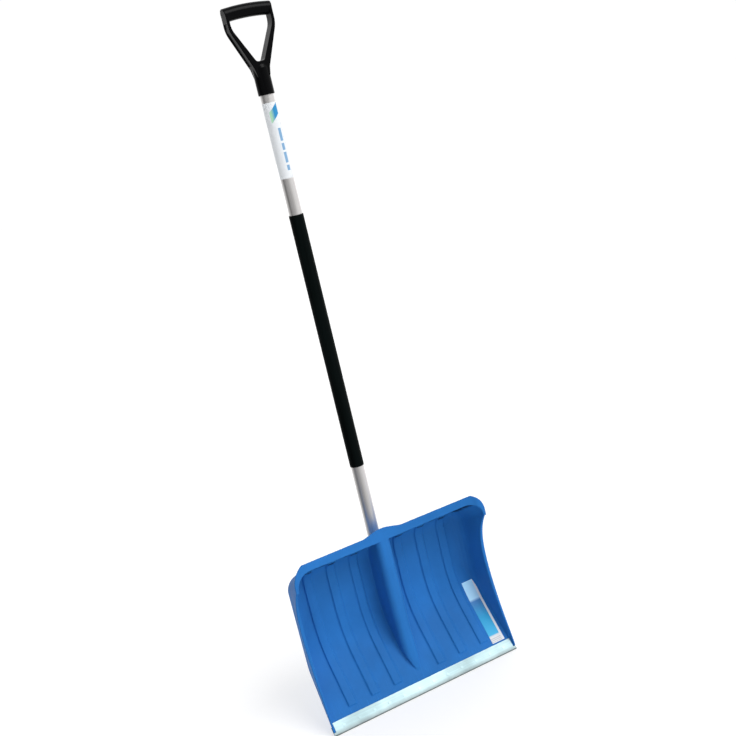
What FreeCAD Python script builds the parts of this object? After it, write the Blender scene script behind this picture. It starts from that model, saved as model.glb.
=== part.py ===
import FreeCAD, Part
import math
import os
import Sketcher
from FreeCAD import Placement, Rotation, Vector

# Snow shovel, standing upright on its cutting edge. Millimetres, +Z up along the shaft.
# The open front of the scoop looks towards -Y, +X is to the right of that view, and the
# origin is the middle of the cutting edge, at its lowest line.

os.makedirs("parts", exist_ok=True)
doc = FreeCAD.newDocument("snow_shovel")

DRIVING_SIZES = [
    # scoop moulding
    ("scoop_wall", 3.0, "wall thickness of the scoop moulding"),
    ("pan_lean", 38.5, "angle of the lower pan from the vertical, degrees"),
    ("pan_face_y", 127.0, "front face of the upright part of the pan"),
    ("pan_bend_radius", 190.0, "bend between the lower pan and the upright pan"),
    ("pan_half_width", 235.0, "inner half width at the pan"),
    ("rim_half_width", 247.5, "inner half width at the front rim"),
    ("rim_outer_half", 251.0, "half width over the rim"),
    ("rim_thickness", 3.0, "thickness of the rim and of the top band"),
    ("flange_corner_z", 343.0, "height where pan and top flange would meet"),
    ("flange_tilt", 25.0, "rise of the top flange towards its front, degrees"),
    ("flange_bend_radius", 50.0, "bend between the pan and the top flange"),
    ("band_front_y", 4.0, "front of the side walls and of the band at its ends"),
    ("band_middle_y", 52.0, "front of the band at its middle"),
    ("band_lip", 3.5, "drop of the band below the flange"),
    ("band_top_z", 416.5, "top of the band at its ends"),
    ("band_top_slope", 23.0, "rise of the band's top edge towards the front, degrees"),
    ("rim_corner_radius", 46.0, "upper corners of the rim"),
    ("back_corner_radius", 34.0, "upper corners at the back of the scoop"),
    ("wall_corner_radius", 30.0, "round between the side walls and the upright pan"),
    ("pan_ribs_per_side", 3, "raised ribs on each half of the pan"),
    ("pan_rib_pitch", 60.5, "spacing of the raised ribs"),
    ("pan_rib_width", 21.0, "width of a raised rib"),
    ("pan_rib_height", 4.0, "height of a raised rib"),
    ("pan_rib_start", 44.0, "lower end of the ribs, along the pan"),
    ("ridge_half_width", 18.0, "half width of the hollow centre ridge"),
    # shaft and socket
    ("shaft_setback", 104.0, "shaft axis behind the cutting edge"),
    ("tube_diameter", 30.0, "outer diameter of the aluminium tube"),
    ("tube_wall", 1.5, "wall of the aluminium tube"),
    ("tube_foot_z", 196.0, "lower end of the tube"),
    ("tube_top_z", 1459.0, "upper end of the tube"),
    ("socket_clearance", 0.2, "radial clearance of the tube in its sockets"),
    ("collar_diameter", 38.0, "collar round the tube on the top flange"),
    ("collar_top_z", 371.0, "top of that collar"),
    ("saddle_top_z", 406.0, "top of the saddle in front of the tube, at the band"),
    ("saddle_half_width", 50.0, "half width of that saddle where it leaves the band"),
    ("strap_height", 26.0, "height of a strap behind the tube"),
    ("web_pitch", 42.0, "spacing of the webs in the socket"),
    ("plug_flange", 2.0, "flange of the tube plug"),
    ("plug_length", 24.0, "length of the tube plug inside the tube"),
    ("sleeve_diameter", 33.0, "outer diameter of the black sleeve"),
    ("sleeve_foot_z", 552.0, "lower end of the sleeve"),
    ("sleeve_length", 594.0, "length of the sleeve"),
    ("label_film", 0.25, "thickness of the label films"),
    ("tube_label_foot_z", 1227.0, "lower end of the tube label"),
    ("tube_label_length", 164.0, "length of the tube label"),
    ("scoop_label_middle_x", 217.5, "middle line of the scoop label"),
    ("scoop_label_width", 34.0, "width of the scoop label"),
    ("scoop_label_foot", 31.0, "lower end of the scoop label, along the pan"),
    ("scoop_label_top_z", 161.0, "upper end of the scoop label"),
    # grip
    ("ferrule_diameter", 36.0, "outer diameter of the grip ferrule"),
    ("ferrule_foot_z", 1408.0, "lower end of the ferrule"),
    ("ferrule_top_z", 1465.0, "shoulders of the ferrule"),
    ("ferrule_round", 1.5, "round at the foot of the ferrule"),
    ("grip_bar_z", 1582.5, "axis of the grip bar at its ends"),
    ("grip_bar_diameter", 29.0, "diameter of the grip bar"),
    ("grip_bar_arch", 3.5, "rise of the grip bar at its middle"),
    ("grip_half_width", 53.5, "half width over the grip arms"),
    ("grip_arm_thickness", 6.5, "thickness of a grip arm"),
    ("grip_arm_depth", 29.0, "front to back depth of a grip arm"),
    ("grip_knee_z", 1549.0, "height where the arms start to converge"),
    ("grip_valley_z", 1479.0, "bottom of the hand opening"),
    ("grip_channel_depth", 2.5, "channel along the outside of each arm"),
    ("grip_channel_margin", 4.5, "flange left on each side of that channel"),
    ("grip_valley_half", 9.0, "half width of the hand opening at its bottom"),
    ("grip_valley_radius", 7.0, "round at the bottom of the hand opening"),
    ("grip_knee_radius", 60.0, "round outside the bend of an arm"),
    ("inner_knee_radius", 40.0, "round inside that bend"),
    ("crown_height", 14.0, "cone between the ferrule and the fork of the grip"),
    ("crown_taper", 0.62, "top radius of that cone over its bottom radius"),
    # edge strip and fasteners
    ("strip_gauge", 1.5, "leg thickness of the edge strip"),
    ("strip_front_leg", 27.0, "front leg of the edge strip above its nose"),
    ("strip_back_leg", 19.0, "back leg of the edge strip above its nose"),
    ("rivet_count", 12, "rivets through the edge strip"),
    ("rivet_pitch", 40.0, "spacing of the rivets"),
    ("rivet_height", 13.0, "rivets above the nose, along the strip"),
    ("rivet_shank", 4.0, "rivet shank diameter"),
    ("rivet_head", 7.0, "rivet head diameter"),
    ("rivet_head_height", 0.6, "rivet head height"),
    ("screw_shank", 4.0, "screw shank diameter"),
    ("screw_head", 8.0, "screw head diameter"),
    ("screw_head_height", 2.8, "screw head height"),
    ("screw_reach", 7.0, "screw point beyond the tube's outer face"),
    ("recess_length", 4.6, "length of the crossed slots in a screw head"),
    ("recess_width", 1.0, "width of those slots"),
    ("recess_depth", 1.4, "depth of those slots"),
    ("lower_screw_z", 222.0, "lower scoop screw"),
    ("upper_screw_z", 318.0, "upper scoop screw"),
    ("grip_screw_z", 1434.0, "grip screw"),
]

sheet = doc.addObject("Spreadsheet::Sheet", "Sizes")
for row, (alias, value, meaning) in enumerate(DRIVING_SIZES, start=1):
    sheet.set("A%d" % row, alias)
    sheet.set("B%d" % row, str(value))
    sheet.set("C%d" % row, meaning)
    sheet.setAlias("B%d" % row, alias)
doc.recompute()

subparts = []


def size(alias):
    """Driving dimension, read from the sheet."""
    return float(sheet.get(alias))


def keep(piece, label):
    """Give a finished sub-part its name and list it."""
    piece.Label = label
    subparts.append(piece)
    return piece


def bind(piece, **expressions):
    """Bind properties of a document object to the sheet."""
    for name, expression in expressions.items():
        piece.setExpression(name, expression)


def cylinder(name, radius, height):
    piece = doc.addObject("Part::Cylinder", name)
    bind(piece, Radius=radius, Height=height)
    return piece


def box(name, length, width, height):
    piece = doc.addObject("Part::Box", name)
    bind(piece, Length=length, Width=width, Height=height)
    return piece


def cut(name, base, tool):
    piece = doc.addObject("Part::Cut", name)
    piece.Base = base
    piece.Tool = tool
    return piece


def fuse(name, pieces):
    piece = doc.addObject("Part::MultiFuse", name)
    piece.Shapes = pieces
    return piece


def free_shape(name, shape):
    piece = doc.addObject("Part::Feature", name)
    piece.Shape = shape
    return piece


# ---------------------------------------------------------------- outlines of the scoop

FAR = 400.0          # reach of the cutting volumes beyond the scoop
NEAR = 0.1           # an edge this close to a place is taken to lie there
OVERLAP = 0.5        # bodies that are fused run this far into each other
PAST_TRAY = 30.0     # the tray volume runs this far past the scoop, front and back
DRILL = 40.0         # length of the hole volumes
PAN_LIFT = 0.4       # the pan's flange is this far above its nominal line
PAN_END = 5.0        # the moulding stops this far above the centre of the strip's nose
ROUNDING_STEPS = 5   # facets of the round between side wall and pan
FLANGE_RISE = 12.0   # the flange is trimmed to the band from this far above its corner
RIB_BACK_DROP = 40.0 # the hollow backs of the ribs and the label stop this far below that corner

# side view of the front rim below the band, Y and Z of each point
RIM_CURVE = [(-6, -14), (22, 87), (38, 151), (48, 222), (42, 296), (18, 343)]
RIM_CURVE_TOP_Z = 372.0

# plan view of the band's right half: share of the half width, share of the setback
BAND_CURVE = [(0.4, 0.81), (0.76, 0.31), (0.91, 0.08), (1.0, 0.0)]


def yz(y, z):
    """Point in the side view."""
    return Vector(0, y, z)


def nose_radius():
    return size("scoop_wall") / 2 + size("strip_gauge")


def nose_centre():
    return yz(0, nose_radius())


def pan_up():
    """Direction up along the lower pan."""
    lean = math.radians(size("pan_lean"))
    return yz(math.sin(lean), math.cos(lean))


def pan_out():
    """Direction out of the front face of the lower pan."""
    lean = math.radians(size("pan_lean"))
    return yz(-math.cos(lean), math.sin(lean))


def on_lower_pan(along, forward):
    """Point above the nose, measured along the lower pan and forward of its front face."""
    return nose_centre() + pan_up() * along + pan_out() * (size("scoop_wall") / 2 + forward)


def bend(corner, arriving, leaving, radius):
    """Start, middle and end of a tangent arc at a corner, with its tangent length."""
    turn = arriving.getAngle(leaving)
    reach = radius * math.tan(turn / 2)
    start = corner - arriving * reach
    end = corner + leaving * reach
    inward = leaving - arriving
    inward.normalize()
    middle = corner + inward * (radius / math.cos(turn / 2) - radius)
    return start, middle, end


def flange_direction():
    tilt = math.radians(size("flange_tilt"))
    return yz(-math.cos(tilt), math.sin(tilt))


def pan_corners(forward):
    """Corners of the pan's side view, moved forward of the front face by a distance."""
    low = on_lower_pan(0, forward)
    face_y = size("pan_face_y") - forward
    first = low + pan_up() * ((face_y - low.y) / pan_up().y)
    tilt = math.radians(size("flange_tilt"))
    second = yz(face_y, size("flange_corner_z") - forward / math.cos(tilt) + forward * math.tan(tilt))
    return first, second


def pan_line(forward, start, flange_reach=None, upright_end=None):
    """Side view of the pan as edges: lower pan, bend, upright, then bend and flange."""
    first, second = pan_corners(forward)
    upright = yz(0, 1)
    along = flange_direction()
    low = on_lower_pan(start, forward)
    a, b, c = bend(first, pan_up(), upright, size("pan_bend_radius") - forward)
    edges = [Part.LineSegment(low, a).toShape(), Part.Arc(a, b, c).toShape()]
    if upright_end is not None:
        edges.append(Part.LineSegment(c, yz(c.y, upright_end)).toShape())
        return edges
    d, e, f = bend(second, upright, along, size("flange_bend_radius") - forward)
    edges.append(Part.LineSegment(c, d).toShape())
    edges.append(Part.Arc(d, e, f).toShape())
    edges.append(Part.LineSegment(f, second + along * flange_reach).toShape())
    return edges


def ends(edges):
    wire = Part.Wire(edges)
    vertexes = wire.OrderedVertexes
    return vertexes[0].Point, vertexes[-1].Point


def closed_face(edges, *corners):
    """Face between a run of edges and the straight lines through the given corners."""
    first, last = ends(edges)
    points = [last] + list(corners) + [first]
    closing = [Part.LineSegment(p, q).toShape() for p, q in zip(points, points[1:])]
    return Part.Face(Part.Wire(list(edges) + closing))


def across(face, half_width):
    """Solid made from a side view, both ways from the middle of the shovel."""
    face.translate(Vector(-half_width, 0, 0))
    return face.extrude(Vector(2 * half_width, 0, 0))


def pan_strip(near, far, start, half_width, **end):
    """Slab that follows the pan between two distances forward of its front face."""
    back = pan_line(near, start, **end)
    front = pan_line(far, start, **end)
    b0, b1 = ends(back)
    f0, f1 = ends(front)
    low = Part.LineSegment(b0, f0).toShape()
    high = Part.LineSegment(b1, f1).toShape()
    wire = Part.Wire(Part.__sortEdges__(back + front + [low, high]))
    return across(Part.Face(wire), half_width)


def in_front_of_pan(forward, lift):
    """Everything in front of the pan's side view and above its cut lower end."""
    edges = pan_line(forward, PAN_END, flange_reach=FAR)
    first, last = ends(edges)
    below = first + pan_out() * FAR
    solid = across(closed_face(edges, yz(below.y, last.z), below), FAR)
    solid.translate(Vector(0, 0, lift))
    return solid


def above_pan_end():
    """Everything above the cut lower end of the pan."""
    low = on_lower_pan(PAN_END, 0)
    rear, front = low - pan_out() * FAR, low + pan_out() * FAR
    lift = pan_up() * 2 * FAR
    edges = [Part.LineSegment(rear, front).toShape()]
    return across(closed_face(edges, front + lift, rear + lift), FAR)


def tray_outline(y, inset, narrower):
    """Front view of the tray at one depth: flared sides, top on the flange, round corners."""
    depth = size("pan_face_y") - y
    full = size("pan_face_y") - size("band_front_y")
    flare = (size("rim_half_width") - size("pan_half_width")) / full
    tilt = math.radians(size("flange_tilt"))
    half = size("pan_half_width") + size("scoop_wall") - inset + depth * flare - narrower
    top = size("flange_corner_z") + (size("scoop_wall") - inset) / math.cos(tilt)
    top += depth * math.tan(tilt)
    grow = (size("rim_corner_radius") - size("back_corner_radius")) / full
    corner = size("back_corner_radius") + depth * grow - inset
    return rounded_door(y, half, top, corner)


def rounded_door(y, half, top, corner):
    """Closed outline in the front view: upright sides and round upper corners."""
    def at(x, z):
        return Vector(x, y, z)

    reach = corner * (1 - math.sqrt(0.5))
    foot = -FAR / 4
    left = Part.Arc(at(-half, top - corner), at(-half + reach, top - reach), at(-half + corner, top))
    right = Part.Arc(at(half - corner, top), at(half - reach, top - reach), at(half, top - corner))
    outline = [Part.LineSegment(at(-half, foot), at(-half, top - corner)), left,
               Part.LineSegment(at(-half + corner, top), at(half - corner, top)), right,
               Part.LineSegment(at(half, top - corner), at(half, foot)),
               Part.LineSegment(at(half, foot), at(-half, foot))]
    return Part.Wire([edge.toShape() for edge in outline])


def tray(inset):
    """Flared tray volume that runs past the scoop at both ends, smaller by the inset all round."""
    rounding = size("wall_corner_radius") + size("scoop_wall") - inset
    end_y = size("pan_face_y") + size("scoop_wall") - inset
    outlines = [tray_outline(size("band_front_y") - PAST_TRAY, inset, 0),
                tray_outline(end_y - rounding, inset, 0)]
    for n in range(1, ROUNDING_STEPS + 1):
        turn = math.radians(90 * n / ROUNDING_STEPS)
        outlines.append(tray_outline(end_y - rounding * (1 - math.sin(turn)), inset,
                                     rounding * (1 - math.cos(turn))))
    outlines.append(tray_outline(end_y + PAST_TRAY, inset, rounding))
    return Part.makeLoft(outlines, True, True)


def rim_edge(back):
    """Side view of the front rim, from the nose to above the band, moved back a little."""
    front = size("band_front_y")
    points = [yz(y + back, z) for y, z in RIM_CURVE + [(front, RIM_CURVE_TOP_Z)]]
    curve = Part.BSplineCurve()
    curve.interpolate(points, InitialTangent=yz(10, 60), FinalTangent=yz(0, 60))
    top = yz(front + back, size("band_top_z") + FAR / 4)
    return [curve.toShape(), Part.LineSegment(points[-1], top).toShape()]


def behind_rim():
    edges = rim_edge(0)
    first, last = ends(edges)
    return across(closed_face(edges, yz(FAR, last.z), yz(FAR, first.z)), FAR)


def rim_slab():
    """Slab just behind the front rim, as thick as the rim."""
    front = rim_edge(0)
    back = rim_edge(size("rim_thickness"))
    f0, f1 = ends(front)
    b0, b1 = ends(back)
    low = Part.LineSegment(f0, b0).toShape()
    high = Part.LineSegment(f1, b1).toShape()
    return across(Part.Face(Part.Wire(Part.__sortEdges__(front + back + [low, high]))), FAR)


def band_reach():
    """Half length of the band's volume, a little wider than the rim."""
    return size("rim_outer_half") + 1


def band_plan(back):
    """Plan view of the band's front: set back at the middle, running out flat at the corners."""
    half = band_reach()
    setback = size("band_middle_y") - size("band_front_y")
    right = [Vector(half * x, size("band_front_y") + back + setback * y, 0) for x, y in BAND_CURVE]
    left = [Vector(-p.x, p.y, 0) for p in reversed(right)]
    middle = Vector(0, size("band_middle_y") + back, 0)
    curve = Part.BSplineCurve()
    curve.interpolate(left + [middle] + right, InitialTangent=Vector(half, 0, 0),
                      FinalTangent=Vector(half, 0, 0))
    return curve.toShape()


def upright_prism(edge, corners, foot, top):
    """Solid between two heights over a plan outline: one curved edge closed by corners."""
    face = closed_face([edge], *corners)
    face.translate(Vector(0, 0, foot))
    return face.extrude(Vector(0, 0, top - foot))


def flange_foot():
    return size("flange_corner_z") + FLANGE_RISE


def before_band():
    """Space in front of the curved band, which the flange doesn't reach."""
    half = band_reach()
    front = -FAR / 2
    return upright_prism(band_plan(0), [Vector(half, front, 0), Vector(-half, front, 0)],
                         flange_foot(), 2 * FAR)


def under_band_top():
    """Everything under the sloping plane that the band's top edge lies in."""
    slope = math.tan(math.radians(size("band_top_slope")))
    y0, z0 = size("band_front_y"), size("band_top_z")
    edges = [Part.LineSegment(yz(y0 - FAR, z0 + FAR * slope), yz(y0 + FAR, z0 - FAR * slope)).toShape()]
    return across(closed_face(edges, yz(y0 + FAR, -FAR), yz(y0 - FAR, -FAR)), FAR)


def above_flange():
    """Everything from a little above the flange's underside upwards."""
    y0, z0 = size("pan_face_y"), size("flange_corner_z") + OVERLAP
    along = flange_direction() * FAR
    edges = [Part.LineSegment(yz(y0, z0), yz(y0, z0) + along).toShape()]
    return across(closed_face(edges, yz(y0 + along.y, 2 * FAR), yz(y0, 2 * FAR)), FAR)


def rim_border():
    """Outward rim down both sides, and the curved band turned up from the flange."""
    thick = size("rim_thickness")
    half = band_reach()
    door = rounded_door(-FAR / 4, size("rim_outer_half"), size("band_top_z"),
                        size("rim_corner_radius"))
    outer = Part.Face(door).extrude(Vector(0, FAR, 0)).common(under_band_top())
    sides = outer.common(rim_slab()).cut(before_band()).cut(tray(size("scoop_wall")))
    behind = [Vector(half, FAR, 0), Vector(-half, FAR, 0)]
    band = upright_prism(band_plan(0), behind, flange_foot(), 2 * FAR)
    band = band.cut(upright_prism(band_plan(thick), behind, 0, 2 * FAR))
    band = band.common(outer).cut(tray(size("scoop_wall") + size("band_lip")))
    return sides.fuse(band)


# ---------------------------------------------------------------- centre ridge and socket

RIDGE_TIP = (30.0, 44.0)   # Y and Z of the ridge's lower tip
CREST_CURVE = [(42, 91), (49, 135)]             # Y and Z above the tip
CREST_UPRIGHT = [(0, 195), (1, 275), (0, 368)]  # setback from the band's middle, and Z
TIP_WIDENING = 67.0        # height from the tip to where the ridge has its full width
CREST_ROUND = 0.8          # radius of the crest's edges over the ridge's half width
LONG_EDGE = 250.0          # the crest's edges are longer than this
POCKET_RISE = 50.0         # the ridge's hollow starts this far above its tip
ATTIC_FOOT_Z = 200.0       # the hollow is as wide as the tube above this height
COLLAR_SINK = 8.0          # the collar's foot above the flange's corner
SADDLE_SINK = 5.0          # the saddle's foot above that corner


def ridge_crest(back):
    """Side view of the ridge's crest, from its tip on the pan up to the flange."""
    low = [yz(y + back, z) for y, z in [RIDGE_TIP] + CREST_CURVE]
    high = [yz(size("band_middle_y") + y + back, z) for y, z in CREST_UPRIGHT]
    curve = Part.BSplineCurve()
    curve.interpolate(low + high)
    return [curve.toShape()]


def ridge_side(back, top_gap, rear_y):
    """Side view of the ridge, closed by the flange and a rear line."""
    edges = ridge_crest(back)
    first, last = ends(edges)
    slope = math.tan(math.radians(size("flange_tilt")))

    def under_flange(y):
        return size("flange_corner_z") + (size("pan_face_y") - y) * slope - top_gap

    face = closed_face(edges, yz(last.y, under_flange(last.y)), yz(rear_y, under_flange(rear_y)),
                       yz(rear_y, first.z))
    return face


def ridge_front_view(half):
    """Pointed front view of the ridge, as a volume through the whole scoop."""
    tip_z = RIDGE_TIP[1] - size("scoop_wall")
    shoulder = tip_z + TIP_WIDENING
    middle_z = tip_z + 0.37 * TIP_WIDENING

    def at(x, z):
        return Vector(x, -FAR / 4, z)

    left = Part.Arc(at(0, tip_z), at(-0.66 * half, middle_z), at(-half, shoulder)).toShape()
    right = Part.Arc(at(half, shoulder), at(0.66 * half, middle_z), at(0, tip_z)).toShape()
    edges = [left,
             Part.LineSegment(at(-half, shoulder), at(-half, FAR)).toShape(),
             Part.LineSegment(at(-half, FAR), at(half, FAR)).toShape(),
             Part.LineSegment(at(half, FAR), at(half, shoulder)).toShape(),
             right]
    return Part.Face(Part.Wire(edges)).extrude(Vector(0, FAR, 0))


def round_crest(block, half, radius):
    """Round the two long edges of a ridge's crest."""
    crest = [e for e in block.Edges
             if e.Length > LONG_EDGE and abs(abs(e.CenterOfMass.x) - half) < NEAR
             and e.CenterOfMass.y < size("shaft_setback") - size("tube_diameter") / 2]
    return block.makeFillet(radius, crest)


def ridge_shell():
    """Outer skin volume of the ridge, round along its crest, cut off at the pan."""
    half = size("ridge_half_width")
    block = across(ridge_side(0, -OVERLAP, size("pan_face_y") + OVERLAP), half)
    pointed = round_crest(block, half, CREST_ROUND * half).common(ridge_front_view(half))
    return pointed.common(in_front_of_pan(-OVERLAP, 0))


def bore_radius():
    return size("tube_diameter") / 2 + size("socket_clearance")


def socket_bore():
    """Room for the tube and its plug, open above the collar."""
    foot_z = size("tube_foot_z") - size("plug_flange")
    return Part.makeCylinder(bore_radius(), size("band_top_z") - foot_z,
                             Vector(0, size("shaft_setback"), foot_z))


def saddle_outline(y, half, top, side_drop, foot):
    """Front view of the saddle at one depth: a low crown between two flanks."""
    def at(x, z):
        return Vector(x, y, z)

    crown_x, crown_z = 0.25 * half, top - 0.1 * side_drop
    flank_x, flank_z = 0.6 * half, top - 0.5 * side_drop
    arcs = [Part.Arc(at(-half, top - side_drop), at(-flank_x, flank_z), at(-crown_x, crown_z)),
            Part.Arc(at(-crown_x, crown_z), at(0, top), at(crown_x, crown_z)),
            Part.Arc(at(crown_x, crown_z), at(flank_x, flank_z), at(half, top - side_drop))]
    corners = [at(half, top - side_drop), at(half, foot), at(-half, foot), at(-half, top - side_drop)]
    edges = [arc.toShape() for arc in arcs]
    edges += [Part.LineSegment(p, q).toShape() for p, q in zip(corners, corners[1:])]
    return Part.Wire(edges)


def socket_saddle():
    """Raised saddle that falls and narrows from the band back to the collar."""
    foot = size("flange_corner_z") + SADDLE_SINK
    rise = size("saddle_top_z") - size("band_top_z")
    slope = math.tan(math.radians(size("band_top_slope")))
    rise += (size("band_middle_y") - size("band_front_y")) * slope
    front = saddle_outline(size("band_middle_y"), size("saddle_half_width"), size("saddle_top_z"),
                           rise, foot)
    back = saddle_outline(size("shaft_setback"), size("collar_diameter") / 2, size("collar_top_z"),
                          0.3 * rise, foot)
    saddle = Part.makeLoft([front, back], True, True)
    return saddle.common(above_flange()).cut(before_band())


def ridge_pocket():
    """Hollow of the ridge, open at the back, just wide enough for the tube."""
    half = bore_radius()
    wall = size("scoop_wall")
    radius = CREST_ROUND * size("ridge_half_width") - wall
    side = across(ridge_side(wall, wall, size("pan_face_y") + DRILL / 2), half)
    foot = RIDGE_TIP[1] + POCKET_RISE
    height = size("flange_corner_z") - COLLAR_SINK - foot
    span = Part.makeBox(FAR, FAR, height, Vector(-FAR / 2, -FAR / 4, foot))
    front_y = size("band_middle_y") + wall
    attic = Part.makeBox(2 * half, size("shaft_setback") - front_y,
                         size("collar_top_z") - ATTIC_FOOT_Z, Vector(-half, front_y, ATTIC_FOOT_Z))
    upright = [e for e in attic.Edges
               if abs(e.CenterOfMass.y - front_y) < NEAR and abs(e.CenterOfMass.x) > half - NEAR]
    attic = attic.makeFillet(radius, upright)
    return round_crest(side, half, radius).common(span).fuse(attic)


def socket_webs():
    """Flat webs across the ridge: a stop under the tube and seats in front of it."""
    wall = size("scoop_wall")
    pocket = ridge_pocket()
    stop_top = size("tube_foot_z") - size("plug_flange")
    webs = []
    for n in range(4):
        top = stop_top + n * size("web_pitch")
        rear = size("shaft_setback") if n else size("pan_face_y") + wall
        slab = Part.makeBox(2 * FAR, rear + FAR / 4, wall, Vector(-FAR, -FAR / 4, top - wall))
        webs.append(slab.common(pocket))
    return webs


def socket_straps():
    """Straps behind the tube, each with a screw through it."""
    half = size("ridge_half_width")
    rear = size("pan_face_y") + size("scoop_wall")
    tall = size("strap_height")
    front = size("shaft_setback")
    return [Part.makeBox(2 * half, rear - front, tall, Vector(-half, front, z - tall / 2))
            for z in (size("lower_screw_z"), size("upper_screw_z"))]


def screw_hole(z):
    """Hole from the shaft's axis out through the back."""
    return Part.makeCylinder(size("screw_shank") / 2, DRILL, Vector(0, size("shaft_setback"), z),
                             Vector(0, 1, 0))


def pan_rib_centres():
    pitch = size("pan_rib_pitch")
    count = int(size("pan_ribs_per_side"))
    return [side * pitch * (n + 1) for side in (-1, 1) for n in range(count)]


def rivet_stations():
    count = int(size("rivet_count"))
    pitch = size("rivet_pitch")
    return [(n - (count - 1) / 2) * pitch for n in range(count)]


def rivet_hole(x, radius):
    """Hole through pan and strip, square to the lower pan."""
    start = on_lower_pan(size("rivet_height"), -DRILL / 2) + Vector(x, 0, 0)
    return Part.makeCylinder(radius, DRILL, start, pan_out())


def make_scoop():
    wall = size("scoop_wall")
    outer = tray(0).common(in_front_of_pan(-wall, PAN_LIFT))
    inner = tray(wall).common(in_front_of_pan(0, PAN_LIFT))
    shell = outer.cut(inner).common(behind_rim()).cut(before_band())
    border = rim_border().common(above_pan_end())
    solid = shell.fuse(border)

    rib_reach = 0.6 * size("flange_bend_radius")
    for x in pan_rib_centres():
        rib = pan_strip(-OVERLAP, size("pan_rib_height"), size("pan_rib_start"),
                        size("pan_rib_width") / 2, flange_reach=rib_reach)
        rib.translate(Vector(x, 0, 0))
        solid = solid.fuse(rib)
        groove = pan_strip(-wall - 1, -OVERLAP, size("pan_rib_start") + 2 * wall,
                           size("pan_rib_width") / 2 - wall,
                           upright_end=size("flange_corner_z") - RIB_BACK_DROP)
        groove.translate(Vector(x, 0, 0))
        solid = solid.cut(groove)

    solid = solid.fuse([ridge_shell(), socket_saddle()]).cut(ridge_pocket())
    collar_foot = size("flange_corner_z") + COLLAR_SINK
    collar = Part.makeCylinder(size("collar_diameter") / 2, size("collar_top_z") - collar_foot,
                               Vector(0, size("shaft_setback"), collar_foot))
    solid = solid.fuse([collar] + socket_straps() + socket_webs())
    solid = solid.cut(socket_bore())

    for z in (size("lower_screw_z"), size("upper_screw_z")):
        solid = solid.cut(screw_hole(z))
    for x in rivet_stations():
        solid = solid.cut(rivet_hole(x, size("rivet_shank") / 2))
    return keep(free_shape("Scoop", solid), "scoop")


# ---------------------------------------------------------------- edge strip and rivets

BACKWARDS = Rotation(Vector(1, 0, 0), -90)   # turns +Z to +Y, out of the back


def strip_placement():
    """Local frame of the strip: X along the edge, Y out of the pan's back, Z up the pan."""
    return Placement(nose_centre(), Rotation(Vector(1, 0, 0), -size("pan_lean")))


def make_edge_strip():
    wall = "Sizes.scoop_wall"
    gauge = "Sizes.strip_gauge"
    length = "2 * Sizes.rim_half_width + 2 * Sizes.scoop_wall"
    radius = "%s / 2 + %s" % (wall, gauge)
    nose = cylinder("StripNose", radius, length)
    block = box("StripBlock", length, "2 * (%s)" % radius, "%f" % PAN_END)
    front_length = "2 * Sizes.rim_half_width - 2 * Sizes.scoop_wall"
    front = box("StripFrontLeg", front_length, gauge, "Sizes.strip_front_leg")
    back = box("StripBackLeg", length, gauge, "Sizes.strip_back_leg")
    half = size("rim_half_width") + size("scoop_wall")
    reach = nose_radius()
    nose.Placement = Placement(Vector(-half, 0, 0), Rotation(Vector(0, 1, 0), 90))
    block.Placement = Placement(Vector(-half, -reach, 0), Rotation())
    front_start = size("scoop_wall") - size("rim_half_width")
    front.Placement = Placement(Vector(front_start, -reach, 0), Rotation())
    back.Placement = Placement(Vector(-half, reach - size("strip_gauge"), 0), Rotation())
    body = fuse("StripBody", [nose, block, front, back])
    holes = []
    for n, x in enumerate(rivet_stations(), start=1):
        hole = cylinder("StripHole%d" % n, "Sizes.rivet_shank / 2", "%f" % DRILL)
        hole.Placement = Placement(Vector(x, -DRILL / 2, size("rivet_height")), BACKWARDS)
        holes.append(hole)
    strip = cut("EdgeStrip", body, fuse("StripHoles", holes))
    strip.Placement = strip_placement()
    return keep(strip, "edge_strip")


def make_strip_rivets():
    grip = "2 * Sizes.strip_gauge + Sizes.scoop_wall"
    for n, x in enumerate(rivet_stations(), start=1):
        shank = cylinder("RivetShank%d" % n, "Sizes.rivet_shank / 2",
                         "%s + 2 * Sizes.rivet_head_height" % grip)
        head = cylinder("RivetHead%d" % n, "Sizes.rivet_head / 2", "Sizes.rivet_head_height")
        tail = cylinder("RivetTail%d" % n, "Sizes.rivet_head / 2", "Sizes.rivet_head_height")
        tail.Placement = Placement(Vector(0, 0, size("rivet_head_height") + 2 * nose_radius()), Rotation())
        rivet = fuse("StripRivet%d" % n, [shank, head, tail])
        start = Vector(x, -nose_radius() - size("rivet_head_height"), size("rivet_height"))
        rivet.Placement = strip_placement().multiply(Placement(start, BACKWARDS))
        keep(rivet, "strip_rivet_%d" % n)


# ---------------------------------------------------------------- shaft

def ring_body(name, label, outer, inner, length, foot):
    """Tube-shaped sub-part on the shaft axis: one sketch of two circles, padded."""
    body = doc.addObject("PartDesign::Body", name)
    plane = [f for f in body.Origin.OriginFeatures if f.Role == "XY_Plane"][0]
    sketch = body.newObject("Sketcher::SketchObject", name + "Section")
    sketch.AttachmentSupport = [(plane, "")]
    sketch.MapMode = "FlatFace"
    for index, (key, expression) in enumerate((("outer", outer), ("inner", inner))):
        sketch.addGeometry(Part.Circle(Vector(0, 0, 0), Vector(0, 0, 1), 20 - 5 * index), False)
        sketch.addConstraint(Sketcher.Constraint("Coincident", index, 3, -1, 1))
        number = sketch.addConstraint(Sketcher.Constraint("Diameter", index, 40 - 10 * index))
        sketch.renameConstraint(number, key)
        sketch.setExpression("Constraints." + key, expression)
    pad = body.newObject("PartDesign::Pad", name + "Pad")
    pad.Profile = sketch
    pad.setExpression("Length", length)
    sketch.Visibility = False
    body.Placement = Placement(Vector(0, size("shaft_setback"), size(foot)), Rotation())
    return keep(body, label)


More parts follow.
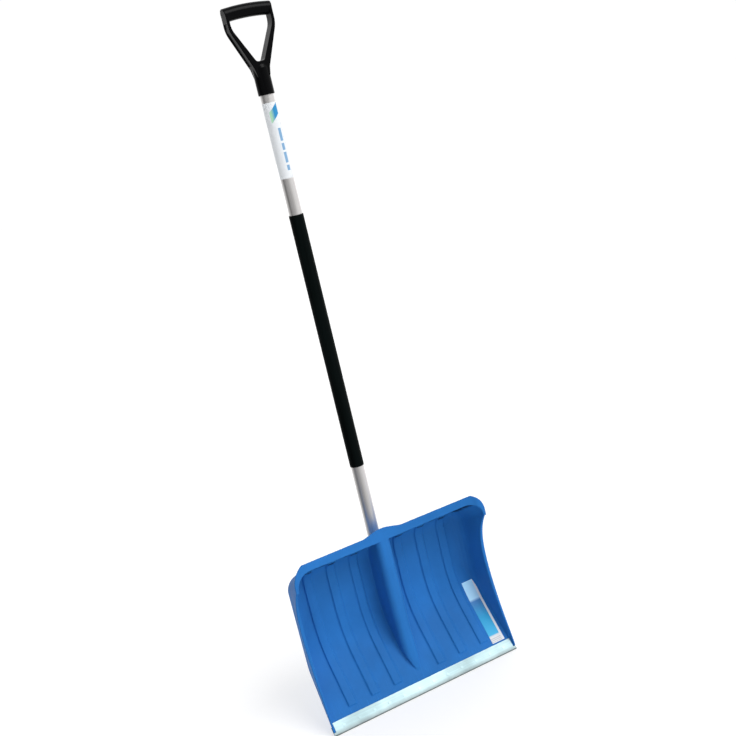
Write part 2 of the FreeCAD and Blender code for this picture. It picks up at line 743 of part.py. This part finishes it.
def side_hole(name, z):
    """Hole for a screw from the back, in the shaft's own frame."""
    hole = cylinder(name, "Sizes.screw_shank / 2", "Sizes.tube_diameter")
    hole.Placement = Placement(Vector(0, size("shaft_setback"), z), BACKWARDS)
    return hole


def make_handle_tube():
    rod = cylinder("TubeOutside", "Sizes.tube_diameter / 2", "Sizes.tube_top_z - Sizes.tube_foot_z")
    core = cylinder("TubeInside", "Sizes.tube_diameter / 2 - Sizes.tube_wall",
                    "Sizes.tube_top_z - Sizes.tube_foot_z")
    foot = Placement(Vector(0, size("shaft_setback"), size("tube_foot_z")), Rotation())
    rod.Placement = foot
    core.Placement = foot
    holes = [side_hole("TubeHole_" + key, size(key))
             for key in ("lower_screw_z", "upper_screw_z", "grip_screw_z")]
    tube = cut("HandleTube", rod, fuse("TubeCuts", [core] + holes))
    return keep(tube, "handle_tube")


def make_tube_plug():
    """Plastic plug in the tube's lower end, with a thin flange under the tube."""
    stem = cylinder("PlugStem", "Sizes.tube_diameter / 2 - Sizes.tube_wall",
                    "Sizes.plug_length + Sizes.plug_flange")
    flange = cylinder("PlugFlange", "Sizes.tube_diameter / 2", "Sizes.plug_flange")
    core = cylinder("PlugCore", "Sizes.tube_diameter / 2 - 3 * Sizes.tube_wall", "Sizes.plug_length")
    base = Vector(0, size("shaft_setback"), size("tube_foot_z") - size("plug_flange"))
    stem.Placement = Placement(base, Rotation())
    flange.Placement = Placement(base, Rotation())
    core.Placement = Placement(base + Vector(0, 0, 2 * size("plug_flange")), Rotation())
    return keep(cut("TubePlug", fuse("PlugBody", [stem, flange]), core), "tube_plug")


def make_screw(label, z, seat_y):
    """Pan-head screw along Y, its head on the back of the piece it holds."""
    tip_y = size("shaft_setback") + size("tube_diameter") / 2 - size("screw_reach")
    name = "".join(word.capitalize() for word in label.split("_"))
    shank = cylinder(name + "Shank", "Sizes.screw_shank / 2", "%f" % (seat_y - tip_y))
    head = cylinder(name + "Head", "Sizes.screw_head / 2", "Sizes.screw_head_height")
    shank.Placement = Placement(Vector(0, tip_y, z), BACKWARDS)
    head.Placement = Placement(Vector(0, seat_y, z), BACKWARDS)
    recess_y = seat_y + size("screw_head_height") - size("recess_depth")
    slots = []
    for n, (wide, tall) in enumerate((("length", "width"), ("width", "length")), start=1):
        slot = box("%sSlot%d" % (name, n), "Sizes.recess_" + wide, "2 * Sizes.recess_depth",
                   "Sizes.recess_" + tall)
        corner = Vector(-size("recess_" + wide) / 2, recess_y, z - size("recess_" + tall) / 2)
        slot.Placement = Placement(corner, Rotation())
        slots.append(slot)
    body = fuse(name + "Body", [shank, head])
    return keep(cut(name, body, fuse(name + "Recess", slots)), label)


# ---------------------------------------------------------------- grip

def grip_outline(points, y):
    corners = [Vector(x, y, z) for x, z in points]
    return Part.makePolygon(corners + [corners[0]])


def grip_frame():
    """Arms and fork of the grip as a flat frame with a rounded V opening."""
    half = size("grip_half_width")
    inner = half - size("grip_arm_thickness")
    depth = size("grip_arm_depth")
    knee = size("grip_knee_z")
    bar = size("grip_bar_z")
    neck = size("ferrule_diameter") / 2
    front = size("shaft_setback") - depth / 2
    shoulder = size("ferrule_top_z")
    root = shoulder - neck
    inner_knee = knee + size("grip_arm_thickness") / 2
    valley = size("grip_valley_z")
    valley_half = size("grip_valley_half")
    outside = [(-half, bar), (-half, knee), (-neck, shoulder), (-0.8 * neck, root),
               (0.8 * neck, root), (neck, shoulder), (half, knee), (half, bar)]
    opening = [(-inner, bar), (-inner, inner_knee), (-valley_half, valley),
               (valley_half, valley), (inner, inner_knee), (inner, bar)]
    frame = Part.Face(grip_outline(outside, front)).extrude(Vector(0, depth, 0))
    hand = Part.Face(grip_outline(opening, front - depth)).extrude(Vector(0, 3 * depth, 0))
    bottoms = [e for e in hand.Edges
               if abs(e.CenterOfMass.z - valley) < NEAR and abs(e.CenterOfMass.x) > valley_half - NEAR]
    hand = hand.makeFillet(size("grip_valley_radius"), bottoms)
    knees = [e for e in hand.Edges
             if abs(e.CenterOfMass.z - inner_knee) < NEAR and abs(e.CenterOfMass.x) > inner - NEAR]
    hand = hand.makeFillet(size("inner_knee_radius"), knees)
    outer_knees = [e for e in frame.Edges
                   if abs(e.CenterOfMass.z - knee) < NEAR and abs(e.CenterOfMass.x) > half - NEAR]
    frame = frame.makeFillet(size("grip_knee_radius"), outer_knees)
    return frame.cut(hand)


def grip_channels():
    """Channels sunk in the outer face of both arms, between a front and a rear flange."""
    half = size("grip_half_width")
    deep = size("grip_channel_depth")
    wide = size("grip_arm_depth") - 2 * size("grip_channel_margin")
    front = size("shaft_setback") - wide / 2
    knee = size("grip_knee_z")
    neck = size("ferrule_diameter") / 2
    low = size("ferrule_top_z") + 3 * deep
    high = size("grip_bar_z") - size("grip_bar_diameter") / 2 - deep
    slope = (half - neck) / (knee - size("ferrule_top_z"))
    low_x = neck + slope * (low - size("ferrule_top_z"))
    cuts = []
    for side in (-1, 1):
        run = [(side * (half - deep), high), (side * (half - deep), knee + 1),
               (side * (low_x - deep), low), (side * (low_x + half), low),
               (side * 2 * half, knee), (side * 2 * half, high)]
        cuts.append(Part.Face(grip_outline(run, front)).extrude(Vector(0, wide, 0)))
    return cuts


def grip_bar():
    """Round bar between the arms, arched a little upwards."""
    half = size("grip_half_width")
    arch = size("grip_bar_arch")
    sweep_radius = (half ** 2 + arch ** 2) / (2 * arch)
    centre = Vector(0, size("shaft_setback"), size("grip_bar_z") + arch - sweep_radius)
    swing = math.degrees(math.asin(half / sweep_radius))
    disc = Part.Circle(centre + Vector(0, 0, sweep_radius), Vector(1, 0, 0), size("grip_bar_diameter") / 2)
    face = Part.Face(Part.Wire(disc.toShape()))
    face.rotate(centre, Vector(0, 1, 0), -swing)
    return face.revolve(centre, Vector(0, 1, 0), 2 * swing)


def make_d_grip():
    foot = size("ferrule_foot_z")
    top = size("ferrule_top_z")
    radius = size("ferrule_diameter") / 2
    axis = Vector(0, size("shaft_setback"), foot)
    ferrule = Part.makeCylinder(radius, top - foot, axis)
    rim = [e for e in ferrule.Edges if abs(e.CenterOfMass.z - foot) < NEAR]
    ferrule = ferrule.makeFillet(size("ferrule_round"), rim)
    crown = Part.makeCone(radius, size("crown_taper") * radius, size("crown_height"),
                          axis + Vector(0, 0, top - foot))
    solid = grip_frame().fuse([ferrule, crown, grip_bar()])
    solid = solid.cut(grip_channels())
    bore = Part.makeCylinder(bore_radius(), size("tube_top_z") + 1 - foot, axis)
    solid = solid.cut(bore)
    solid = solid.cut(screw_hole(size("grip_screw_z")))
    return keep(free_shape("DGrip", solid.removeSplitter()), "d_grip")


# ---------------------------------------------------------------- labels

def make_scoop_label():
    """Long sticker on the pan, from the outermost rib to the foot of the right side wall."""
    film = size("label_film")
    slab = pan_strip(0, film, size("scoop_label_foot"), size("scoop_label_width") / 2,
                     upright_end=size("flange_corner_z") - RIB_BACK_DROP)
    slab.translate(Vector(size("scoop_label_middle_x"), 0, 0))
    below_top = Part.makeBox(FAR, FAR, FAR, Vector(0, -FAR / 4, size("scoop_label_top_z") - FAR))
    label = slab.common(below_top).common(tray(size("scoop_wall") + film))
    return keep(free_shape("ScoopLabel", label), "scoop_label")


make_scoop()
make_edge_strip()
make_strip_rivets()
make_handle_tube()
make_tube_plug()
ring_body("ShaftSleeve", "shaft_sleeve", "Sizes.sleeve_diameter", "Sizes.tube_diameter",
          "Sizes.sleeve_length", "sleeve_foot_z")
ring_body("TubeLabel", "tube_label", "Sizes.tube_diameter + 2 * Sizes.label_film",
          "Sizes.tube_diameter", "Sizes.tube_label_length", "tube_label_foot_z")
make_d_grip()
make_screw("scoop_screw_lower", size("lower_screw_z"), size("pan_face_y") + size("scoop_wall"))
make_screw("scoop_screw_upper", size("upper_screw_z"), size("pan_face_y") + size("scoop_wall"))
make_screw("grip_screw", size("grip_screw_z"), size("shaft_setback") + size("ferrule_diameter") / 2)
make_scoop_label()

doc.recompute()
for item in doc.Objects:
    if "Invalid" in item.State or "Error" in item.State:
        raise RuntimeError("failed object: %s %s" % (item.Name, item.State))
for piece in subparts:
    if piece.Shape.isNull() or not piece.Shape.isValid():
        raise RuntimeError("bad shape: " + piece.Label)
for piece in subparts:
    shape = piece.Shape
    limits = shape.BoundBox
    print("%-20s solids %d volume %.0f box %.1f x %.1f x %.1f" % (
        piece.Label, len(shape.Solids), shape.Volume, limits.XLength, limits.YLength, limits.ZLength))
    shape.exportStep("parts/%s.step" % piece.Label)
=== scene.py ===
import math

import bmesh
import bpy
from mathutils import Matrix, Vector


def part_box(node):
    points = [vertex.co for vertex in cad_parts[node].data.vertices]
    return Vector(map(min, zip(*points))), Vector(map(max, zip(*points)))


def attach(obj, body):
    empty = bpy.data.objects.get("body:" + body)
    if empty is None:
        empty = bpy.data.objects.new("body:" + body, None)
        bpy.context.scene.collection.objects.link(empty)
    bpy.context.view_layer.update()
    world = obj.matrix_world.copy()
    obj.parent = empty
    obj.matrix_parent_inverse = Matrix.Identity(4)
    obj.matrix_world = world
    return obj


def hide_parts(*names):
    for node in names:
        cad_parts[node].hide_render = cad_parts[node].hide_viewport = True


# Snow shovel standing on its cutting edge. Metres, +Z up along the shaft, the open front
# of the scoop looks towards -Y.

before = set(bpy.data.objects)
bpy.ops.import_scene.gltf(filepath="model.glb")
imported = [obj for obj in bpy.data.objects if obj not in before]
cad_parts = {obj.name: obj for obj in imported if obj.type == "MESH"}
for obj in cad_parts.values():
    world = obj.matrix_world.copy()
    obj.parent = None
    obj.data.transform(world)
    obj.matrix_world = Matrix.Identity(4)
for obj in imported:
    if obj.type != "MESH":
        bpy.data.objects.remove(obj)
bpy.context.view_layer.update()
MM = 0.001
WELD = 0.001 * MM  # vertices this close are merged

BLUE = (0.022, 0.158, 0.475, 1.0)
BLACK = (0.0014, 0.0015, 0.0019, 1.0)
SLEEVE_BLACK = (0.0016, 0.0032, 0.0032, 1.0)
ALUMINIUM = (0.84, 0.82, 0.81, 1.0)
BRIGHT = (0.47, 0.62, 0.645, 1.0)
ZINC = (0.55, 0.56, 0.58, 1.0)
# painted shade colour for the underside of the strip's rounded nose
NOSE_SHADE_METAL = (0.28, 0.335, 0.345, 1.0)
SKY = (0.03, 0.25, 0.52, 1.0)
FOAM = (0.42, 0.72, 0.95, 1.0)
PAPER = (0.78, 0.81, 0.84, 1.0)
LEAF = (0.42, 0.72, 0.46, 1.0)

GRAIN_DEPTH = 0.05 * MM  # moulded grain and sleeve creases
LINE_DEPTH = 0.02 * MM  # drawing lines and paper grain
UNDER_SHADE_STARTS, UNDER_SHADE_FULL = -0.70, -0.84  # Z of a normal that looks downwards, where the painted shade under the band starts and where it is full
NOSE_SHADE_FULL = 0.3  # share of the shaded height below which the painted shade on the strip's nose is full
PRINT_EDGE = 0.4 * MM  # softness of a printed edge

FLOOR_REACH = 40.0
FLOOR_DROP = 0.2 * MM  # floor below the cutting edge
DOME_RADIUS = 38.0
CAMERA_DEGREES = (-23.67, 13.20, -13.30)  # azimuth, elevation, roll
CAMERA_PLACE = (-0.9086, -2.1598, 1.3433)
CAMERA_LENS = 53.8
CAMERA_SENSOR = 36.0


# ---------------------------------------------------------------- material helpers

def new_material(name):
    """Material with nodes, and its tree and shader."""
    material = bpy.data.materials.new(name)
    material.use_nodes = True
    tree = material.node_tree
    return material, tree, tree.nodes["Principled BSDF"]


def add_node(tree, kind, inputs=None, **settings):
    """Node with its settings, and its inputs set or linked."""
    made = tree.nodes.new(kind)
    for key, value in settings.items():
        setattr(made, key, value)
    for key, value in (inputs or {}).items():
        put(tree, made.inputs[key], value)
    return made


def put(tree, socket, value):
    """Link an output into a socket, or set the socket."""
    if isinstance(value, bpy.types.NodeSocket):
        tree.links.new(value, socket)
    else:
        socket.default_value = value


def place(tree, scale=(1, 1, 1)):
    """Coordinates in the row frame, in metres, scaled along each axis."""
    coordinates = add_node(tree, "ShaderNodeTexCoord")
    mapping = add_node(tree, "ShaderNodeMapping", {"Vector": coordinates.outputs["Object"]})
    mapping.inputs["Scale"].default_value = scale
    return mapping.outputs["Vector"]


def noise_of(tree, vector, scale, detail=4.0, roughness=0.55):
    made = add_node(tree, "ShaderNodeTexNoise",
                    {"Vector": vector, "Scale": scale, "Detail": detail, "Roughness": roughness})
    return made.outputs["Fac"]


def spread(tree, value, low, high, to_low=0.0, to_high=1.0):
    """Remap a value from one range to another, clamped."""
    made = add_node(tree, "ShaderNodeMapRange",
                    {"Value": value, "From Min": low, "From Max": high,
                     "To Min": to_low, "To Max": to_high})
    return made.outputs["Result"]


def maths(tree, operation, first, second=0.0):
    made = add_node(tree, "ShaderNodeMath", operation=operation)
    put(tree, made.inputs[0], first)
    put(tree, made.inputs[1], second)
    return made.outputs[0]


def blend_colours(tree, share, first, second):
    made = add_node(tree, "ShaderNodeMix", data_type="RGBA")
    put(tree, made.inputs[0], share)
    put(tree, made.inputs[6], first)
    put(tree, made.inputs[7], second)
    return made.outputs[2]


def ramp(tree, value, stops, interpolation="LINEAR"):
    """Colour ramp through (position, colour) stops."""
    made = add_node(tree, "ShaderNodeValToRGB", {"Fac": value})
    made.color_ramp.interpolation = interpolation
    elements = made.color_ramp.elements
    while len(elements) < len(stops):
        elements.new(1.0)
    for element, (position, colour) in zip(elements, stops):
        element.position = position
        element.color = colour
    return made.outputs["Color"]


def bump(tree, shader, height, depth, strength=1.0):
    """Bump from a height of 0 to 1 that stands for a depth in metres."""
    made = add_node(tree, "ShaderNodeBump",
                    {"Height": height, "Strength": strength, "Distance": depth})
    tree.links.new(made.outputs["Normal"], shader.inputs["Normal"])


def darker(colour, share):
    return tuple(c * share for c in colour[:3]) + (1.0,)


def split(tree, vector):
    return add_node(tree, "ShaderNodeSeparateXYZ", {"Vector": vector}).outputs


# ---------------------------------------------------------------- materials

def moulded_plastic(name, colour, roughness, gloss, grain, flow, scuffs=None, under_shade=None):
    """Moulded plastic: cloudy colour, fine grain, flow marks, scuffs low down, and painted shade on
    faces that look downwards.
    """
    material, tree, shader = new_material(name)
    cloud = noise_of(tree, place(tree), 9.0)
    tint = blend_colours(tree, spread(tree, cloud, 0.3, 0.7),
                         darker(colour, 0.90), darker(colour, 1.07))
    streaks = noise_of(tree, place(tree, scale=flow), 1.0, detail=6.0)
    tint = blend_colours(tree, spread(tree, streaks, 0.45, 0.75, 0.0, 0.18),
                         tint, darker(colour, 1.35))
    base_roughness = spread(tree, streaks, 0.3, 0.7, roughness - 0.05, roughness + 0.07)
    if scuffs:
        worn_and_shaded_below, worn_colour = scuffs
        height = split(tree, place(tree))["Z"]
        low = spread(tree, height, worn_and_shaded_below, 0.0)
        scratches = noise_of(tree, place(tree, scale=(900, 40, 40)), 1.0, detail=3.0)
        worn = maths(tree, "MULTIPLY", low, spread(tree, scratches, 0.60, 0.68))
        tint = blend_colours(tree, maths(tree, "MULTIPLY", worn, 0.45), tint, worn_colour)
        base_roughness = maths(tree, "ADD", base_roughness, maths(tree, "MULTIPLY", worn, 0.15))
    # Painted shade: the colour is darkened on faces that look downwards, such as the underside of
    # the band, where shade falls.
    if under_shade:
        facing = split(tree, add_node(tree, "ShaderNodeNewGeometry").outputs["Normal"])["Z"]
        edge = spread(tree, noise_of(tree, place(tree), 60.0), 0.3, 0.7, -0.05, 0.05)
        under = spread(tree, maths(tree, "ADD", facing, edge), UNDER_SHADE_STARTS, UNDER_SHADE_FULL)
        tint = blend_colours(tree, under, tint, under_shade)
    tree.links.new(tint, shader.inputs["Base Color"])
    tree.links.new(base_roughness, shader.inputs["Roughness"])
    shader.inputs["Specular IOR Level"].default_value = gloss
    fine = noise_of(tree, place(tree), grain, detail=3.0)
    bump(tree, shader, fine, GRAIN_DEPTH, 0.6)
    return material


def drawn_metal(name, colour, roughness, along, worn_and_shaded_below=None):
    """Metal with drawing or rolling lines; `along` scales noise short across the lines.

    It is greyer below a given height: painted shade on the underside of the rounded nose."""
    material, tree, shader = new_material(name)
    lines = noise_of(tree, place(tree, scale=along), 1.0, detail=8.0, roughness=0.7)
    cloud = noise_of(tree, place(tree), 14.0)
    tint = blend_colours(tree, spread(tree, lines, 0.35, 0.65),
                         darker(colour, 0.88), darker(colour, 1.08))
    tint = blend_colours(tree, spread(tree, cloud, 0.5, 0.8, 0.0, 0.3), tint, darker(colour, 0.80))
    # Painted shade: greyer towards the bottom, standing for the shade on the underside of the
    # rounded nose.
    if worn_and_shaded_below:
        nose = spread(tree, split(tree, place(tree))["Z"], worn_and_shaded_below, NOSE_SHADE_FULL * worn_and_shaded_below)
        tint = blend_colours(tree, nose, tint, NOSE_SHADE_METAL)
    tree.links.new(tint, shader.inputs["Base Color"])
    tree.links.new(spread(tree, cloud, 0.3, 0.7, roughness - 0.06, roughness + 0.08),
                   shader.inputs["Roughness"])
    shader.inputs["Metallic"].default_value = 1.0
    bump(tree, shader, lines, LINE_DEPTH, 0.5)
    return material


def shrink_sleeve(name, colour):
    """Black sleeve with faint lengthwise creases and a satin skin."""
    material, tree, shader = new_material(name)
    creases = noise_of(tree, place(tree, scale=(70, 70, 5)), 1.0, detail=5.0)
    skin = noise_of(tree, place(tree), 1400.0, detail=2.0)
    tree.links.new(blend_colours(tree, spread(tree, creases, 0.35, 0.7), darker(colour, 0.8),
                                 darker(colour, 1.5)), shader.inputs["Base Color"])
    tree.links.new(spread(tree, creases, 0.3, 0.7, 0.36, 0.50), shader.inputs["Roughness"])
    shader.inputs["Specular IOR Level"].default_value = 0.03
    height = maths(tree, "ADD", maths(tree, "MULTIPLY", creases, 3.0),
                   maths(tree, "MULTIPLY", skin, 0.35))
    bump(tree, shader, height, GRAIN_DEPTH, 0.7)
    return material


def printed_film(name, motif):
    """White film with fine paper grain and a printed motif given as (share, colour)."""
    material, tree, shader = new_material(name)
    grain = noise_of(tree, place(tree), 220.0)
    paper = blend_colours(tree, spread(tree, grain, 0.35, 0.65), darker(PAPER, 0.96), PAPER)
    share, ink = motif(tree)
    tree.links.new(blend_colours(tree, share, paper, ink), shader.inputs["Base Color"])
    tree.links.new(spread(tree, grain, 0.3, 0.7, 0.40, 0.50), shader.inputs["Roughness"])
    shader.inputs["Specular IOR Level"].default_value = 0.15
    bump(tree, shader, grain, LINE_DEPTH, 0.4)
    return material


def band_mask(tree, value, low, high, soft):
    """One inside a band of values, fading over a soft edge."""
    rise = spread(tree, value, low - soft, low + soft)
    fall = spread(tree, value, high - soft, high + soft, 1.0, 0.0)
    return maths(tree, "MULTIPLY", rise, fall)


def tube_label_motif(tree):
    """Plain bars down the label under a slanted two-tone flag. No lettering."""
    low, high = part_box("tube_label")
    parts = split(tree, place(tree))
    x, z = parts["X"], parts["Z"]
    bars = ramp(tree, spread(tree, z, low.z, high.z), [
        (0.0, (0, 0, 0, 1)), (0.10, (1, 1, 1, 1)), (0.17, (0, 0, 0, 1)), (0.20, (1, 1, 1, 1)),
        (0.34, (0, 0, 0, 1)), (0.37, (1, 1, 1, 1)), (0.46, (0, 0, 0, 1)), (0.49, (1, 1, 1, 1)),
        (0.66, (0, 0, 0, 1))], "CONSTANT")
    bar = maths(tree, "MULTIPLY", band_mask(tree, x, 0.5 * MM, 7.5 * MM, PRINT_EDGE), bars)
    slant = maths(tree, "SUBTRACT", z, maths(tree, "MULTIPLY", x, 0.9))
    flag = maths(tree, "MULTIPLY",
                 band_mask(tree, slant, high.z - 36 * MM, high.z - 12 * MM, PRINT_EDGE),
                 band_mask(tree, x, -9 * MM, 12 * MM, PRINT_EDGE))
    flag_ink = blend_colours(tree, spread(tree, x, -7 * MM, 1 * MM), LEAF, SKY)
    ink = blend_colours(tree, flag, SKY, flag_ink)
    return maths(tree, "MAXIMUM", maths(tree, "MULTIPLY", bar, 0.75), flag), ink


def scoop_label_motif(tree):
    """Blue fade with a pale panel at the top, a pale margin and a ruled foot. No lettering."""
    low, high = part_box("scoop_label")
    parts = split(tree, place(tree))
    x, z = parts["X"], parts["Z"]
    fade = ramp(tree, spread(tree, z, low.z, high.z), [
        (0.0, PAPER), (0.10, darker(PAPER, 0.9)), (0.12, (0.06, 0.46, 0.78, 1.0)),
        (0.40, (0.02, 0.33, 0.62, 1.0)), (0.66, (0.06, 0.22, 0.52, 1.0)), (0.70, FOAM),
        (1.0, darker(FOAM, 1.1))])
    rules = maths(tree, "PINGPONG", z, 1.6 * MM)
    foot = maths(tree, "MULTIPLY", spread(tree, z, low.z + 10 * MM, low.z + 9 * MM),
                 spread(tree, rules, 0.7 * MM, 0.9 * MM))
    ink = blend_colours(tree, maths(tree, "MULTIPLY", foot, 0.35), fade, darker(PAPER, 0.3))
    margin = spread(tree, x, high.x - 6 * MM, high.x - 5 * MM, 1.0, 0.0)
    return margin, ink


# The scoop's faces that look downwards, under the band, get a painted shade colour.
scoop_plastic = moulded_plastic("scoop_plastic", BLUE, 0.45, 0.05, 900.0, (30, 30, 4),
                                scuffs=(60 * MM, darker(BLUE, 2.2)), under_shade=darker(BLUE, 0.12))
grip_plastic = moulded_plastic("grip_plastic", BLACK, 0.20, 0.08, 1500.0, (60, 60, 12))
plug_plastic = moulded_plastic("plug_plastic", BLACK, 0.50, 0.20, 1500.0, (60, 60, 60))
tube_metal = drawn_metal("tube_aluminium", ALUMINIUM, 0.42, (1400, 1400, 3))
# The strip's nose gets painted shade below 12 mm.
strip_metal = drawn_metal("strip_aluminium", BRIGHT, 0.58, (3, 900, 900), worn_and_shaded_below=12 * MM)
rivet_metal = drawn_metal("rivet_aluminium", darker(BRIGHT, 1.05), 0.55, (500, 500, 500))
screw_metal = drawn_metal("screw_zinc", ZINC, 0.30, (600, 600, 600))
sleeve_skin = shrink_sleeve("sleeve_skin", SLEEVE_BLACK)
tube_label_film = printed_film("tube_label_film", tube_label_motif)
scoop_label_film = printed_film("scoop_label_film", scoop_label_motif)


# ---------------------------------------------------------------- pieces

def finish_piece(piece, material, nodes):
    """Give a piece its material and body, and hide the CAD nodes that it stands for."""
    piece.data.materials.clear()
    piece.data.materials.append(material)
    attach(piece, "root")
    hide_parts(*nodes)
    return piece


def link(name, mesh):
    piece = bpy.data.objects.new(name, mesh)
    bpy.context.scene.collection.objects.link(piece)
    return piece


def softened(name, node, voxel, passes):
    """Copy of a CAD node with every edge rounded a little, as a moulding comes out of its mould."""
    piece = link(name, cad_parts[node].data.copy())
    welded = bmesh.new()
    welded.from_mesh(piece.data)
    bmesh.ops.remove_doubles(welded, verts=welded.verts, dist=WELD)
    welded.to_mesh(piece.data)
    welded.free()
    remesh = piece.modifiers.new("remesh", "REMESH")
    remesh.mode = "VOXEL"
    remesh.voxel_size = voxel
    smooth = piece.modifiers.new("smooth", "SMOOTH")
    smooth.factor = 0.5
    smooth.iterations = passes
    evaluated = piece.evaluated_get(bpy.context.evaluated_depsgraph_get())
    shape = bpy.data.meshes.new_from_object(evaluated)
    piece.modifiers.clear()
    piece.data = shape
    shape.shade_smooth()
    return piece


def lifted(name, node, lift):
    """Copy of a thin CAD film, its faces moved out along their normals."""
    piece = link(name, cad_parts[node].data.copy())
    film = bmesh.new()
    film.from_mesh(piece.data)
    bmesh.ops.remove_doubles(film, verts=film.verts, dist=WELD)
    film.normal_update()
    for point in film.verts:
        point.co += point.normal * lift
    film.to_mesh(piece.data)
    film.free()
    return piece


finish_piece(softened("scoop_moulding", "scoop", voxel=1.5 * MM, passes=4), scoop_plastic,
             ["scoop"])
finish_piece(softened("grip_moulding", "d_grip", voxel=0.9 * MM, passes=5), grip_plastic,
             ["d_grip"])
finish_piece(lifted("scoop_sticker", "scoop_label", lift=0.4 * MM), scoop_label_film,
             ["scoop_label"])

CARRIED_OVER = {
    "edge_strip": strip_metal, "handle_tube": tube_metal, "tube_plug": plug_plastic,
    "shaft_sleeve": sleeve_skin, "tube_label": tube_label_film,
    "scoop_screw_lower": screw_metal, "scoop_screw_upper": screw_metal, "grip_screw": screw_metal,
}
CARRIED_OVER.update({n: rivet_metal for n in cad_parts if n.startswith("strip_rivet_")})
for node, material in CARRIED_OVER.items():
    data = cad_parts[node].data
    data.materials.clear()
    data.materials.append(material)


# ---------------------------------------------------------------- studio

def make_floor():
    """Wide pale floor under the cutting edge."""
    material, tree, shader = new_material("floor_paint")
    cloud = noise_of(tree, place(tree), 1.5)
    pale = (0.62, 0.62, 0.62, 1.0)
    tree.links.new(blend_colours(tree, cloud, darker(pale, 0.98), pale),
                   shader.inputs["Base Color"])
    shader.inputs["Roughness"].default_value = 0.9
    shader.inputs["Emission Color"].default_value = (1, 1, 1, 1)
    shader.inputs["Emission Strength"].default_value = 0.50
    mesh = bpy.data.meshes.new("floor")
    signs = ((-1, -1), (1, -1), (1, 1), (-1, 1))
    corners = [(x * FLOOR_REACH, y * FLOOR_REACH, 0) for x, y in signs]
    mesh.from_pydata(corners, [], [(0, 1, 2, 3)])
    mesh.materials.append(material)
    floor = link("floor", mesh)
    floor.location.z = -FLOOR_DROP
    floor.visible_glossy = False


def make_backdrop():
    """White dome behind everything, which lights nothing."""
    material, tree, shader = new_material("backdrop_white")
    shader.inputs["Base Color"].default_value = (0, 0, 0, 1)
    shader.inputs["Emission Color"].default_value = (1, 1, 1, 1)
    shader.inputs["Emission Strength"].default_value = 1.0
    dome = bmesh.new()
    bmesh.ops.create_icosphere(dome, subdivisions=3, radius=DOME_RADIUS)
    mesh = bpy.data.meshes.new("backdrop")
    dome.to_mesh(mesh)
    dome.free()
    mesh.materials.append(material)
    backdrop = link("backdrop", mesh)
    for ray in ("diffuse", "glossy", "transmission", "shadow"):
        setattr(backdrop, "visible_" + ray, False)


def make_world():
    """Soft surroundings, brighter on the right than on the left, and brightest behind."""
    world = bpy.data.worlds.new("studio")
    bpy.context.scene.world = world
    world.use_nodes = True
    tree = world.node_tree
    direction = add_node(tree, "ShaderNodeTexCoord").outputs["Generated"]
    parts = split(tree, direction)
    side = spread(tree, parts["X"], -0.9, 0.9, 0.08, 0.84)
    behind = spread(tree, parts["Y"], 0.1, 0.8, 0.0, 0.65)
    tree.links.new(maths(tree, "ADD", side, behind), tree.nodes["Background"].inputs["Strength"])
    tree.nodes["Background"].inputs["Color"].default_value = (1, 1, 1, 1)


def make_light(name, energy, softness, towards):
    """Broad light from one direction."""
    lamp = bpy.data.lights.new(name, "SUN")
    lamp.energy = energy
    lamp.angle = math.radians(softness)
    placed = bpy.data.objects.new(name, lamp)
    bpy.context.scene.collection.objects.link(placed)
    placed.rotation_euler = Vector(towards).to_track_quat("-Z", "Y").to_euler()


def make_camera():
    """Camera above and left of the front, rolled so that the shaft leans to the left."""
    azimuth, elevation, roll = (math.radians(v) for v in CAMERA_DEGREES)
    back = Vector((math.sin(azimuth) * math.cos(elevation),
                   -math.cos(azimuth) * math.cos(elevation), math.sin(elevation)))
    level = Vector((math.cos(azimuth), math.sin(azimuth), 0))
    upright = back.cross(level)
    right = math.cos(roll) * level + math.sin(roll) * upright
    up = -math.sin(roll) * level + math.cos(roll) * upright
    data = bpy.data.cameras.new("camera")
    data.lens = CAMERA_LENS
    data.sensor_width = CAMERA_SENSOR
    camera = bpy.data.objects.new("camera", data)
    bpy.context.scene.collection.objects.link(camera)
    turn = Matrix((right, up, back)).transposed().to_4x4()
    camera.matrix_world = Matrix.Translation(CAMERA_PLACE) @ turn
    bpy.context.scene.camera = camera


make_floor()
make_backdrop()
make_world()
make_light("key", 1.70, 40, (-0.38, 0.76, -0.80))
make_light("fill", 0.22, 60, (0.80, 0.60, -0.20))
make_camera()
bpy.context.scene.view_settings.view_transform = "Standard"
